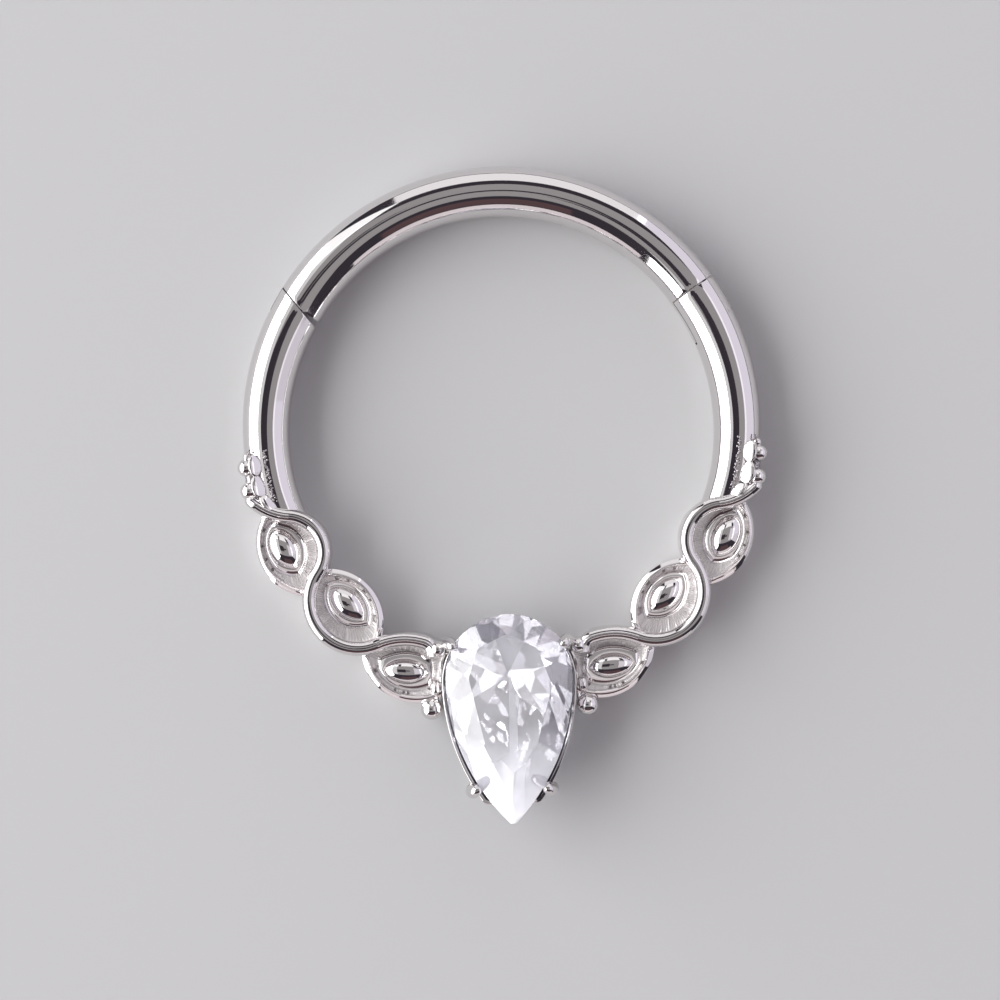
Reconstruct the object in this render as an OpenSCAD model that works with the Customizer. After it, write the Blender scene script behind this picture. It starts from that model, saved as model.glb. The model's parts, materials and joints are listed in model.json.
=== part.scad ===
// Hinged segment ring for body jewellery, lying on its back.
//
// A round wire hoop opens at a hinged segment. Its lower third is a cast ornament: on each side three
// oval cups with a pointed bead, tied together by one winding ribbon, and a pear cut stone in a four
// prong basket between them. Everything is in millimetres. +Z is the face with the stone, the flat
// backs of the cups and of the basket lie at z = 0, and the ornament is mirrored about x = 0.

/* [Hoop] */
// Clear diameter inside the wire
inner_d = 10; // [9.9:0.05:10.1]
// Thickness of the round wire, 16 gauge
wire_d = 1.2; // [1.16:0.02:1.24]
// Height of the wire's underside over the flat backs of the ornament
wire_lift = 0.02; // [0.01:0.01:0.05]

/* [Hinged segment] */
// Angle of the hinge seam, from +X
hinge_angle = 33.8; // [32:0.2:36]
// Angle of the clasp seam, from +X
clasp_angle = 148.1; // [146:0.1:150]
// How far the clasp seam leans from the radius, with its inner end further from the hinge
clasp_lean = -20; // [-24:1:-16]
// Width of the closed seams
seam_gap = 0.03; // [0.03:0.005:0.04]
// Distance of the hinge pin's axis from the middle of the hoop
pin_ring_r = 5.93; // [5.9:0.01:5.94]
// Angle between the hinge pin and the hinge seam
pin_back = 8.7; // [8.4:0.1:9]
// Radius of the hinge pin
pin_r = 0.13; // [0.12:0.01:0.14]
// Thickness of the tongues in their slots
tongue_t = 0.36; // [0.32:0.02:0.4]

/* [Ribbon] */
// Radius of the ribbon's round crest
ribbon_r = 0.17; // [0.15:0.01:0.18]
// Height of the middle of that crest
ribbon_z = 1.1; // [1.05:0.01:1.12]

/* [Cups] */
// Height of a cup's hollow
cup_floor_z = 0.75; // [0.7:0.05:0.8]
// Height of a cup's open rim
cup_rim_z = 1.02; // [0.98:0.02:1.06]
// Width of that rim
cup_rim_w = 0.12; // [0.1:0.01:0.14]
// Height of the collar under a pointed bead
collar_z = 0.92; // [0.88:0.02:0.96]
// How deep the middle of the bead is sunk in the collar
bead_sink = 0.04; // [0.03:0.01:0.06]

/* [Stone] */
// Width of the pear cut stone
stone_w = 3; // [2.95:0.05:3.05]
// Length of the pear cut stone
stone_l = 5; // [4.95:0.05:5.05]
// Height of the underside of the stone's girdle
girdle_z = 1.55; // [1.54:0.01:1.6]
// Thickness of the girdle
girdle_t = 0.07; // [0.05:0.01:0.08]
// Height of the crown over the girdle
crown_h = 0.44; // [0.42:0.02:0.48]
// Depth of the pavilion below the girdle
pavilion_h = 1.3; // [1.28:0.02:1.32]

/* [Hidden] */
$fn = 48;

// Hoop
wire_r = wire_d / 2;
hoop_r = inner_d / 2 + wire_r;
wire_z = wire_lift + wire_r;
half_seam = seam_gap / 2 / hoop_r * 180 / PI;
// Cutting blocks are this big, larger than anything they cut through
block = 4;
// Pieces of wire that are joined run this many degrees into each other
arm_extra = 5;

// Hinge: the pin runs in the segment's tongue and is fixed in the two ears of the body
tongue_play = 0.03;
pin_play = 0.015;
pin_fix = 0.005;
pin_half_l = 0.4;
pin_angle = hinge_angle - pin_back;
pin_reach = pin_ring_r * sin(pin_back);
lug_r = 0.24;
slot_depth = 0.38;
corner_w = 0.3;
tongue_drop = 0.33;
ear_from = 0.1;

// Clasp: a short tongue on the free end of the segment
clasp_tongue_l = 0.4;
clasp_tongue_in = -0.12;
clasp_play = 0.05;
nick_y = 0.06;

// Where the wire ends under the ribbon, as a line through this point
arm_end_angle = -26;
arm_cut_at = [5.36, -1.95];
arm_cut_lean = 25;

// Ribbon: a chain of tangent bends that starts beside the lower shoulder ball
ribbon_start = [6.11, -1.48];
ribbon_heading = 232.3;
BEND_R = 0;
BEND_TURN = 1;
BEND_BASE = 2;
// Radius, turn to the left, and height of the foot of the wall; the first bend lies on the wire
bends = [
    [1.4, -47.7, 0.45],
    [0.87, 121, 0],
    [1.155, -147.7, 0],
    [1.61, 40, 0]
];
ribbon_wall_in = 0.02;
// A cup's plate runs this far past the middle of the ribbon's wall
ribbon_seat = 0.05;
// Every other bend is a little thinner, and its ends run into the bends beside it
bend_thin = 0.012;
bend_overlap = 0.05;

// Cups: place and lean of the pointed bead, its length and width, and the middle of the open rim
CUP_AT = 0;
CUP_LEAN = 1;
CUP_L = 2;
CUP_W = 3;
CUP_RIM_AT = 4;
cups = [
    [[5.265, -2.805], 61, 1.06, 0.68, [4.635, -2.653]],
    [[3.795, -4.165], 46, 1.08, 0.62, [4.25, -4.6]],
    [[2.446, -5.8], 6, 1.06, 0.56, [2.19, -5.26]]
];
cup_rim_r = 1.3;
collar_margin_l = 0.2;
collar_margin_w = 0.17;
// Posts and plate that carry the balls beside the stone
bridge_h = 0.85;
bridge_post = 0.8;
bridge_outline = [[1.4, -5.15], [1.9, -5.15], [1.98, -6.75], [1.55, -6.75]];

// Balls: place and radius, on the shoulders of the wire and beside the stone
BALL_AT = 0;
BALL_R = 1;
balls = [
    [[6.067, -0.585, 0.98], 0.115],
    [[6.105, -0.84, 0.94], 0.21],
    [[6.04, -1.4, 0.92], 0.215],
    [[1.665, -5.28, 1.15], 0.2],
    [[1.76, -6.26, 1], 0.165],
    [[1.86, -6.71, 0.92], 0.265]
];

// Stone outline: a half circle and two long side arcs that meet in the tip
stone_r = stone_w / 2;
stone_y = -5.98;
tip_l = stone_l - stone_r;
side_r = (tip_l * tip_l + stone_r * stone_r) / (2 * stone_r);
side_x = side_r - stone_r;
// Steps of the round end and of each side arc
end_steps = 15;
side_steps = 8;
table_z = girdle_z + girdle_t + crown_h;
culet_z = girdle_z - pavilion_h;
// The middle of the whole piece is at y = 0, and the middle of the hoop stands behind it
hoop_y = (tip_l - stone_y - hoop_r - wire_r) / 2;

// Facets: each row cuts one ring of facets. A plane passes the outline's tangent, shrunk towards
// the culet by one ratio at one height and by the other ratio at the other height.
main_turns = [90, 135, 180, 213, 270, 327, 0, 45];
half_turns = [79, 101, 124, 146, 169, 190, 207, 219, 226, 314, 321, 333, 350, 11, 34, 56];
star_turns = [67, 113, 157, 196, 223, 317, 344, 23];
RING_TURNS = 0;
RING_Z = 1;
RING_RATIO = 2;
crown_rings = [
    [main_turns, [0, crown_h], [1, 0.62]],
    [half_turns, [0, crown_h], [1, 0.76]],
    [star_turns, [0.5 * crown_h, crown_h], [0.83, 0.57]]
];
pavilion_rings = [
    [main_turns, [0, pavilion_h], [1, 0]],
    [half_turns, [0, pavilion_h], [1, 0.14]]
];

// Basket
rail_z = [0.92, 1.28];
rail_out = 0.1;
rail_in = -0.12;
rail_shift = -0.12;
rail_end_y = -3.04;
rail_bar = 0.22;
room_margin = 0.04;
foot_h = 0.3;
foot_out = -0.5;
foot_in = -0.8;
foot_end_y = -2.54;
foot_bar = 0.3;
PRONG_AT = 0;
PRONG_TURN = 1;
prongs = [
    [[1.35, 0.81], 31],
    [[0.88, -2.63], -32]
];
prong_r = 0.15;
prong_out = 0.07;
prong_lean = 0.62;
prong_foot_z = 0.12;
claw_r = 0.16;
claw_in = 0.11;
claw_h = 0.27;
claw_z = girdle_z + girdle_t + claw_h;

// Places the hoop's own drawing, made about the middle of the hoop
module about_hoop() {
    translate([0, hoop_y, 0])
        children();
}

module both_sides() {
    children();
    mirror([1, 0, 0])
        children();
}

// Wire of the hoop between two angles
module wire(from, to) {
    translate([0, 0, wire_z])
        rotate([0, 0, from])
            rotate_extrude(angle = to - from)
                translate([hoop_r, 0])
                    circle(r = wire_r);
}

// A block along a seam, between two distances from its plane; lean turns the plane from the radius
module seam_block(angle, lean, from, to) {
    rotate([0, 0, angle])
        translate([hoop_r, 0, 0])
            rotate([0, 0, lean])
                translate([-block / 2, from, -block / 2])
                    cube([block, to - from, 2 * block]);
}

// A flat slab round the middle of the wire, for slots and tongues
module slab(thickness, x0, x1, y0, y1) {
    translate([x0, y0, wire_z - thickness / 2])
        cube([x1 - x0, y1 - y0, thickness]);
}

module hinge_place() {
    rotate([0, 0, pin_angle])
        translate([pin_ring_r, 0, 0])
            children();
}

module clasp_place() {
    rotate([0, 0, clasp_angle])
        translate([hoop_r, 0, 0])
            children();
}

module pin_hole(r) {
    hinge_place()
        translate([0, 0, -block / 2])
            cylinder(r = r, h = 2 * block);
}

// Corner of the ears that the turning segment would touch
module ear_corner() {
    hinge_place()
        rotate([0, 0, pin_back])
            translate([0, 0, -block / 2])
                difference() {
                    translate([ear_from, pin_reach - corner_w, 0])
                        cube([1, 2 * corner_w, 2 * block]);
                    cylinder(r = pin_reach, h = 2 * block);
                }
}

// Right arm of the hoop, with the fork of the hinge
module hinge_arm() {
    difference() {
        wire(arm_end_angle, hinge_angle - half_seam);
        arm_cut();
        hinge_place()
            slab(tongue_t + 2 * tongue_play, -block, block, -slot_depth, block);
        pin_hole(pin_r + pin_fix);
        ear_corner();
    }
}

// Left arm of the hoop, with the pocket of the clasp
module clasp_arm() {
    difference() {
        wire(clasp_angle - arm_extra, 180 - arm_end_angle);
        mirror([1, 0, 0])
            arm_cut();
        seam_block(clasp_angle, clasp_lean, -block, seam_gap / 2);
        clasp_place()
            slab(
                tongue_t + 2 * tongue_play,
                clasp_tongue_in - clasp_play, block,
                -block / 2, clasp_tongue_l + clasp_play
            );
    }
}

// The wire stops on a slant, under the ribbon
module arm_cut() {
    translate([arm_cut_at[0], arm_cut_at[1], -block / 2])
        rotate([0, 0, arm_cut_lean])
            translate([-block / 2, -block, 0])
                cube([block, block, 2 * block]);
}

// Start of a ribbon bend: place and heading
function bend_start(i) =
    i == 0 ? [ribbon_start, ribbon_heading] : bend_end(bend_start(i - 1), bends[i - 1]);
function bend_side(bend) = bend[BEND_TURN] > 0 ? 1 : -1;
function bend_middle(start, bend) =
    start[0] + bend_side(bend) * bend[BEND_R] * [-sin(start[1]), cos(start[1])];
function bend_end(start, bend) =
    [
        bend_middle(start, bend)
            + bend_side(bend) * bend[BEND_R]
                * [sin(start[1] + bend[BEND_TURN]), -cos(start[1] + bend[BEND_TURN])],
        start[1] + bend[BEND_TURN]
    ];

// Wall of the ribbon with its round crest
module ribbon_profile(base, thin) {
    crest_r = ribbon_r - thin;
    wall = crest_r - ribbon_wall_in;
    translate([0, ribbon_z])
        circle(r = crest_r);
    translate([-wall, base + thin])
        square([2 * wall, ribbon_z - base]);
}

module ribbon() {
    for (i = [0 : len(bends) - 1]) {
        bend = bends[i];
        start = bend_start(i);
        middle = bend_middle(start, bend);
        from = start[1] - bend_side(bend) * 90;
        odd = i % 2;
        extra = odd * bend_overlap / bend[BEND_R] * 180 / PI;
        translate([middle[0], middle[1], 0])
            rotate([0, 0, (bend[BEND_TURN] > 0 ? from : from + bend[BEND_TURN]) - extra])
                rotate_extrude(angle = abs(bend[BEND_TURN]) + 2 * extra)
                    translate([bend[BEND_R], 0])
                        ribbon_profile(bend[BEND_BASE], odd * bend_thin);
    }
}

// The disc inside a bend of the ribbon, out to the middle of its wall
module ribbon_side(i) {
    middle = bend_middle(bend_start(i), bends[i]);
    translate([middle[0], middle[1], -block / 2])
        cylinder(r = bends[i][BEND_R] + ribbon_seat, h = 2 * block);
}

// Pointed bead, turned about its long axis
module pointed_bead(l, w) {
    arc_r = (l * l + w * w) / (4 * w);
    rotate([0, 90, 0])
        rotate_extrude()
            intersection() {
                translate([w / 2 - arc_r, 0])
                    circle(r = arc_r);
                translate([0, -l])
                    square([w, 2 * l]);
            }
}

// Almond shaped prism under the bead
module collar(l, w, h) {
    arc_r = (l * l + w * w) / (4 * w);
    intersection() {
        translate([0, w / 2 - arc_r, 0])
            cylinder(r = arc_r, h = h);
        translate([0, arc_r - w / 2, 0])
            cylinder(r = arc_r, h = h);
    }
}

// One cup: its plate and open rim on one side, the ribbon's bend on the other
module cup(i) {
    row = cups[i];
    difference() {
        intersection() {
            translate([row[CUP_RIM_AT][0], row[CUP_RIM_AT][1], 0])
                cylinder(r = cup_rim_r, h = cup_rim_z);
            ribbon_side(i + 1);
        }
        translate([row[CUP_RIM_AT][0], row[CUP_RIM_AT][1], cup_floor_z])
            cylinder(r = cup_rim_r - cup_rim_w, h = block);
        stone_room();
    }
    translate([row[CUP_AT][0], row[CUP_AT][1], 0])
        rotate([0, 0, row[CUP_LEAN]]) {
            collar(row[CUP_L] + 2 * collar_margin_l, row[CUP_W] + 2 * collar_margin_w, collar_z);
            translate([0, 0, collar_z - bead_sink])
                pointed_bead(row[CUP_L], row[CUP_W]);
        }
}

// Space under the stone that the cups leave free
module stone_room() {
    translate([0, stone_y + rail_shift, -block / 2])
        linear_extrude(2 * block)
            polygon(pear(rail_in + room_margin));
}

// Plate with a post under each ball beside the stone
module bridge() {
    linear_extrude(bridge_h)
        polygon(bridge_outline);
    for (ball = balls)
        if (ball[BALL_AT][1] < bridge_outline[0][1])
            translate([ball[BALL_AT][0], ball[BALL_AT][1], 0])
                cylinder(r = bridge_post * ball[BALL_R], h = ball[BALL_AT][2]);
}

// Outline of the stone about the middle of its round end, grown by an even margin
function pear(grow) =
    let (r = side_r + grow)
        let (step = acos(side_x / r) / side_steps)
            concat(
                [for (i = [0 : end_steps]) (stone_r + grow) * angle_to(i * 180 / end_steps)],
                [for (i = [0 : side_steps - 1]) [side_x, 0] + r * angle_to(180 + i * step)],
                [for (i = [side_steps : -1 : 1]) [-side_x, 0] + r * angle_to(-i * step)]
            );
function angle_to(turn) = [cos(turn), sin(turn)];

// Distance of the outline's tangent from the culet, for a direction
function reach(turn) = max([for (p = pear(0)) p * angle_to(turn)]);

// Half space above one facet plane; z0 and z1 are heights, r0 and r1 the distances there
module facet(turn, z0, r0, z1, r1) {
    slope = atan2(z1 - z0, r0 - r1);
    rotate([0, 0, turn])
        translate([r0, 0, z0])
            rotate([0, slope, 0])
                translate([-2 * block, -2 * block, 0])
                    cube([4 * block, 4 * block, 2 * block]);
}

// Cuts one ring of facets off what it is given
module cut(ring) {
    difference() {
        children();
        for (turn = ring[RING_TURNS])
            facet(
                turn,
                ring[RING_Z][0], ring[RING_RATIO][0] * reach(turn),
                ring[RING_Z][1], ring[RING_RATIO][1] * reach(turn)
            );
    }
}

// Gallery rail under the girdle, closed by a bar short of the tip, and foot rail at the back
module rails() {
    translate([0, 0, rail_z[0]])
        linear_extrude(rail_z[1] - rail_z[0])
            difference() {
                blunt_pear(rail_out, rail_shift, rail_end_y);
                blunt_pear(rail_in, rail_shift, rail_end_y + rail_bar);
            }
    linear_extrude(foot_h)
        difference() {
            blunt_pear(foot_out, 0, foot_end_y);
            blunt_pear(foot_in, 0, foot_end_y + foot_bar);
        }
}

module blunt_pear(grow, shift, end_y) {
    intersection() {
        translate([0, shift])
            polygon(pear(grow));
        translate([-block, end_y])
            square(2 * block);
    }
}

// One prong: a leaning post, a straight end and a round claw over the girdle
module prong(row) {
    translate([row[PRONG_AT][0], row[PRONG_AT][1], 0])
        rotate([0, 0, row[PRONG_TURN]]) {
            lean = atan(prong_lean / rail_z[1]);
            translate([prong_out - prong_lean, 0, prong_foot_z])
                rotate([0, lean, 0])
                    cylinder(r = prong_r, h = (rail_z[1] - prong_foot_z) / cos(lean));
            translate([prong_out, 0, rail_z[0]])
                cylinder(r = prong_r, h = claw_z - rail_z[0]);
            translate([prong_out - claw_in, 0, claw_z])
                sphere(r = claw_r);
        }
}

module basket() {
    translate([0, stone_y, 0]) {
        rails();
        both_sides()
            for (row = prongs)
                prong(row);
    }
}

module ornament_side() {
    ribbon();
    for (i = [0 : len(cups) - 1])
        cup(i);
    for (ball = balls)
        translate(ball[BALL_AT])
            sphere(r = ball[BALL_R]);
    bridge();
}

// Cast and soldered body: arms, cups, ribbon, balls and basket in one
module ring_body() {
    color("silver")
        about_hoop() {
            hinge_arm();
            clasp_arm();
            both_sides()
                ornament_side();
            basket();
        }
}

// Part of the hoop that opens, with the hinge tongue and the clasp tongue
module segment() {
    color("gainsboro")
        about_hoop()
            difference() {
                wire(pin_angle - arm_extra, clasp_angle + arm_extra);
                difference() {
                    union() {
                        seam_block(clasp_angle, clasp_lean, -seam_gap / 2, block);
                        seam_block(clasp_angle, 0, nick_y, block);
                    }
                    clasp_tongue();
                }
                difference() {
                    seam_block(hinge_angle, 0, -block, seam_gap / 2);
                    hinge_tongue();
                }
                pin_hole(pin_r + pin_play);
            }
}

// Round about the pin on the outside, and full on the inside, where opening only lifts it
module hinge_tongue() {
    hinge_place() {
        slab(tongue_t, -block / 2, 0, -tongue_drop, block);
        slab(tongue_t, -ear_from, block, 0, block);
        translate([0, 0, wire_z - tongue_t / 2])
            cylinder(r = lug_r, h = tongue_t);
    }
}

module clasp_tongue() {
    clasp_place()
        slab(tongue_t, clasp_tongue_in, block, -block, clasp_tongue_l);
}

// Hinge pin, burnished flush in the ears
module hinge_pin() {
    color("dimgray")
        about_hoop()
            hinge_place()
                translate([0, 0, wire_z - pin_half_l])
                    cylinder(r = pin_r, h = 2 * pin_half_l);
}

// Pear brilliant cut stone
module pear_stone() {
    color("aliceblue")
        about_hoop()
            translate([0, stone_y, 0])
                pavilion_cut()
                    crown_cut()
                        translate([0, 0, culet_z])
                            linear_extrude(table_z - culet_z)
                                polygon(pear(0));
}

module crown_cut() {
    translate([0, 0, girdle_z + girdle_t])
        cut(crown_rings[2])
            cut(crown_rings[1])
                cut(crown_rings[0])
                    translate([0, 0, -girdle_z - girdle_t])
                        children();
}

module pavilion_cut() {
    translate([0, 0, girdle_z])
        mirror([0, 0, 1])
            cut(pavilion_rings[1])
                cut(pavilion_rings[0])
                    mirror([0, 0, 1])
                        translate([0, 0, -girdle_z])
                            children();
}

ring_body();
segment();
hinge_pin();
pear_stone();
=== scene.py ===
"""A hinged segment ring for body jewellery, lying on its back on a pale studio floor, seen from above.

Everything is shaped in millimetres about the middle of the hoop, with the same named sizes as the part,
and goes to metres in the row frame at the very end of each piece. Angles are in degrees.
"""

import json
import math
import random

import bmesh
import bpy
from mathutils import Matrix, Vector

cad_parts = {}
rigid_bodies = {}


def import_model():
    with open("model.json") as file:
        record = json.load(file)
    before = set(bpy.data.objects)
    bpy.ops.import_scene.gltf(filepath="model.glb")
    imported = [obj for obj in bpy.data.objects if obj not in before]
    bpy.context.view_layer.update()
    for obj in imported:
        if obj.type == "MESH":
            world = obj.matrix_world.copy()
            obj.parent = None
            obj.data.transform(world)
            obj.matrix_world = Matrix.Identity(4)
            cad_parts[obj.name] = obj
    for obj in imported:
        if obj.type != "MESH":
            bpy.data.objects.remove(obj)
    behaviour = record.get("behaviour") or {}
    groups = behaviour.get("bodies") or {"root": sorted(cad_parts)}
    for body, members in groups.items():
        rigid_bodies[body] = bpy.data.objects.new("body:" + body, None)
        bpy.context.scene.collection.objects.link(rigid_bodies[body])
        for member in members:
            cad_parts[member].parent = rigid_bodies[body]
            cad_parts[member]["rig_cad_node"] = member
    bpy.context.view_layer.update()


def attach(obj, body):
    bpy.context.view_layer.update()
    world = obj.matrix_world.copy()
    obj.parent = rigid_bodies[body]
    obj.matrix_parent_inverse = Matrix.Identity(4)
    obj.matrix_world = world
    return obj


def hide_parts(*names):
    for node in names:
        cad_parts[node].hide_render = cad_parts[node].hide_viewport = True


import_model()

BODY = "ring"
HINGED = "hinged_segment"

# Edges that bend by less than this are smoothed, on the metal and on the stone
CREASE = 38
FACET_CREASE = 1

# The hoop of round wire, which thins towards the shoulders from an angle above its middle down
HOOP_R = 5.6
WIRE_R = 0.6
WIRE_Z = 0.62
HOOP_Y = 1.64
OUTSIDE_R = HOOP_R + WIRE_R
SHOULDER_WIRE_R = 0.545
THIN_FROM = 30
THIN_OVER = 45
# Points round the wire, and the angle between its rings
WIRE_POINTS = 56
WIRE_STEP = 1.5
# The lower ends of its arms, under the first cups
ARM_END = -26
ARM_CUT_AT = (5.36, -1.95)
ARM_CUT_LEAN = 25
ARM_ROUND = 0.08

# The hinged segment: its seams, then the hinge's pin, slot, tongue and ears, then the clasp's latch
HINGE_ANGLE = 33.8
CLASP_ANGLE = 148.1
CLASP_LEAN = -20
HALF_SEAM = 0.015
SEAM_ROUND = 0.015
NICK_Y = 0.06
NICK_ROUND = 0.02
PIN_RING_R = 5.93
PIN_BACK = 8.7
PIN_ANGLE = HINGE_ANGLE - PIN_BACK
PIN_REACH = PIN_RING_R * math.sin(math.radians(PIN_BACK))
SLOT_DEPTH = 0.38
SLOT_HALF = 0.21
TONGUE_HALF = 0.18
TONGUE_DROP = 0.33
OUTER_TONGUE_X = -0.1
LUG_R = 0.24
LUG_POINTS = 40
# Flats that clear the ears' ends: directions back from the seam, and how far they stay inside it
EAR_TURNS = (9, 17, 25)
EAR_PLAY = 0.004
CLASP_TONGUE = (-0.12, 0.4)
CLASP_PLAY = 0.05
POCKET_ROUND = 0.03
# How far a tongue runs into the wire that carries it
TONGUE_ROOT = 0.005
# Angles by which a length of wire runs on past where it is then cut
SEAM_SPARE = 3
TONGUE_SPARE = 6
CLASP_SPARE = 9
EAR_SPARE = 12

# The ribbon: where it starts and heads, and the radius and turn of each bend and of the curl at its end
RIBBON_START = (5.9801, -1.6258)
RIBBON_HEADING = 224.3
BENDS = ((1.4, -39.7), (0.87, 121), (1.155, -147.7), (1.61, 40))
RIBBON_CURL = (0.34, 78)
RIBBON_R = 0.17
RIBBON_Z = 1.1
# Points round each of its strands, and the angle between their rings
RIBBON_POINTS = 20
RIBBON_STEP = 3.5
# The wall under its crest, which is short where it lies on the wire, and the fine strand laid on it
WALL_HALF = RIBBON_R - 0.02
WALL_TOP = 0.1
SHORT_WALL = 0.5
FINE_R = 0.05
FINE_Z = RIBBON_Z + 0.155
# The ball that closes its start: how far below the crest's middle it lies, and how much wider it is
END_DROP = 0.02
END_SWELL = 0.005

# The cups: place and lean of the bead, its length and width, middle of the open rim
CUPS = (
    ((5.265, -2.805), 61, 1.06, 0.68, (4.635, -2.653)),
    ((3.795, -4.165), 46, 1.08, 0.62, (4.25, -4.6)),
    ((2.446, -5.8), 6, 1.06, 0.56, (2.19, -5.26)),
)
# How round each end of a bead is, from a sharp point at 0 to an egg's end at 1
BEAD_BLUNT = (0.9, 0.3, 0.5)
INNER_BLUNT = 0.2
# Height of each bead as a part of its half width, and the level of its widest line
BEAD_FLAT = (0.75, 0.68, 0.6)
BEAD_Z = 0.88
CUP_RIM_R = 1.3
CUP_POINTS = 480
# Width of the open rim and of each collar round a bead, and the most that each may take of the way
RIM_W = 0.2
COLLAR_W = (0.2, 0.2, 0.32)
RIM_PART = 0.42
COLLAR_PART = 0.46
RIM, CHANNEL, COLLAR = 0, 1, 2
# Steps across a cup, from the foot of its wall to the bead: zone, share of the zone, height at the
# open rim, and height beside the ribbon
CUP_STEPS = (
    (RIM, 0.0, 0.0, 0.0), (RIM, 0.0, 0.94, 0.7), (RIM, 0.15, 0.962, 0.74), (RIM, 0.3, 0.982, 0.77),
    (RIM, 0.45, 0.998, 0.79), (RIM, 0.6, 1.009, 0.8), (RIM, 0.75, 1.013, 0.8), (RIM, 0.85, 1.0, 0.8),
    (RIM, 0.93, 0.95, 0.8), (RIM, 1.0, 0.87, 0.8), (CHANNEL, 0.1, 0.81, 0.79), (CHANNEL, 0.5, 0.795, 0.785),
    (CHANNEL, 1.0, 0.79, 0.79), (COLLAR, 0.2, 0.82, 0.82), (COLLAR, 0.4, 0.844, 0.844),
    (COLLAR, 0.6, 0.861, 0.861), (COLLAR, 0.76, 0.87, 0.87), (COLLAR, 0.88, 0.873, 0.873),
    (COLLAR, 0.97, 0.868, 0.868), (COLLAR, 1.15, 0.83, 0.83),
)
# Fine ticks in the channel: depth, points of the ring to each, least part of the depth, and the part of
# it that is lost at the open rim
TICK_DEPTH = 0.03
TICK_POINTS = 6
TICK_LEAST = 0.2
TICK_FADE = 0.5
# A few drilled pits along the open rim: how open it has to be there, and their share of the channel
PIT_DEPTH = 0.08
PIT_POINTS = 8
PIT_CHANCE = 0.2
PIT_OPEN = 0.9
PIT_SHARE = 0.6
# How far the corner between the rim and the ribbon is rounded, and over what difference in reach and how
# many points to each side the rim's height runs down to the ribbon's
CORNER = 0.06
OPEN_FADE = 0.24
OPEN_BLEND = 16
# How far the cups run on under the ribbon past its middle line, and a reach past everything
UNDER_RIBBON = 0.05
FAR = 9
# How far the cups may run in under the stone's edge, and the step in which they draw back
STONE_MARGIN = 0.02
DRAW_BACK = 0.01

# Balls on the shoulders: place and radius
SHOULDER_BALLS = (((6.067, -0.585, 1.0), 0.115), ((6.105, -0.84, 0.98), 0.21), ((6.04, -1.4, 1.08), 0.215))
# Flat lobes of solder that lean inwards from the balls: place, half width, length and thickness, turn
SHOULDER_LOBES = (
    ((5.87, -0.8, 1.21), (0.18, 0.26, 0.05), -8),
    ((5.8, -1.3, 1.21), (0.19, 0.28, 0.05), -16),
    ((5.6, -1.68, 1.19), (0.16, 0.26, 0.05), -42),
)
# How far they tip inwards, how many times their top's height the root is deep, and how far the edge waves
LOBE_TILT = -32
LOBE_ROOT = 5
LOBE_WAVE = 0.05
# The bubbled neck of solder under them: place and radius along it, and how rough it is
NECK = (
    ((6.01, -0.6, 0.93), 0.1), ((6.02, -0.84, 0.93), 0.16), ((6.0, -1.12, 0.92), 0.13),
    ((5.97, -1.38, 0.92), 0.17), ((5.86, -1.64, 0.95), 0.14), ((5.7, -1.8, 1.0), 0.12),
)
NECK_ROUGH = 0.008
# Rows of grains: distance out, height, count and spread; then where the rows start, how long they are,
# how they bow inwards, how far a grain strays up or down, and the least and most radius
GRAIN_ROWS = ((5.63, 1.155, 60, 0.045), (6.03, 1.12, 20, 0.02))
GRAIN_START_Y = -0.42
GRAIN_ROW_L = 1.25
GRAIN_BOW = 0.16
GRAIN_BOW_Y = -0.5
GRAIN_RISE = 0.01
GRAIN_R = (0.022, 0.04)
SHOULDER_SEED = 7

# The stone: its outline is a half circle and two flat arcs that meet in the tip
STONE_Y = -5.98
STONE_R = 1.5
TIP_L = 3.5
SIDE_R = (TIP_L**2 + STONE_R**2) / (2 * STONE_R)
GIRDLE_Z = 1.55
GIRDLE_T = 0.07
CROWN_H = 0.44
PAVILION_H = 1.3
STONE_POINTS = 60
# Shares of the outline's points that lie on the half circle and on each flank
ROUND_SHARE = 0.4
FLANK_SHARE = 0.3
# Directions of the main facets, the halves and the stars
MAIN_TURNS = (90, 135, 180, 213, 270, 327, 0, 45)
HALF_TURNS = (79, 101, 124, 146, 169, 190, 207, 219, 226, 314, 321, 333, 350, 11, 34, 56)
STAR_TURNS = (67, 113, 157, 196, 223, 317, 344, 23)
# Rings of facets: directions, heights from the girdle, and the outline's shrinkage at those heights
CROWN = (
    (MAIN_TURNS, (0, CROWN_H), (1, 0.62)),
    (HALF_TURNS, (0, CROWN_H), (1, 0.76)),
    (STAR_TURNS, (0.5 * CROWN_H, CROWN_H), (0.83, 0.57)),
)
PAVILION = (
    (MAIN_TURNS, (0, PAVILION_H), (1, 0)),
    (HALF_TURNS, (0, PAVILION_H), (1, 0.14)),
    (STAR_TURNS, (0, PAVILION_H), (1.04, 0.06)),
    (HALF_TURNS, (0.2 * PAVILION_H, PAVILION_H), (0.86, 0.16)),
    (STAR_TURNS, (0.4 * PAVILION_H, PAVILION_H), (0.68, 0.02)),
)
# How far the cutter is off in turn and in slope, and how much of the sharp tip is taken off
TURN_ERROR = 6
SLOPE_ERROR = 0.08
TIP_CUT = 0.06
STONE_SEED = 8

# The basket: sections of its two rails, as growth from the stone's outline and height, and where each
# is closed by a bar short of the tip
RAIL_SECTION = (
    (0.1, 0.94), (0.1, 1.24), (0.09, 1.27), (0.075, 1.28), (0.01, 1.27), (-0.01, 1.15), (-0.1, 1.12),
    (-0.12, 0.94),
)
RAIL_END_Y = -9.0
FOOT_SECTION = (
    (-0.5, 0.03), (-0.5, 0.27), (-0.54, 0.3), (-0.76, 0.3), (-0.8, 0.27), (-0.8, 0.03), (-0.65, 0.0),
)
FOOT_END_Y = -8.5
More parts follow.
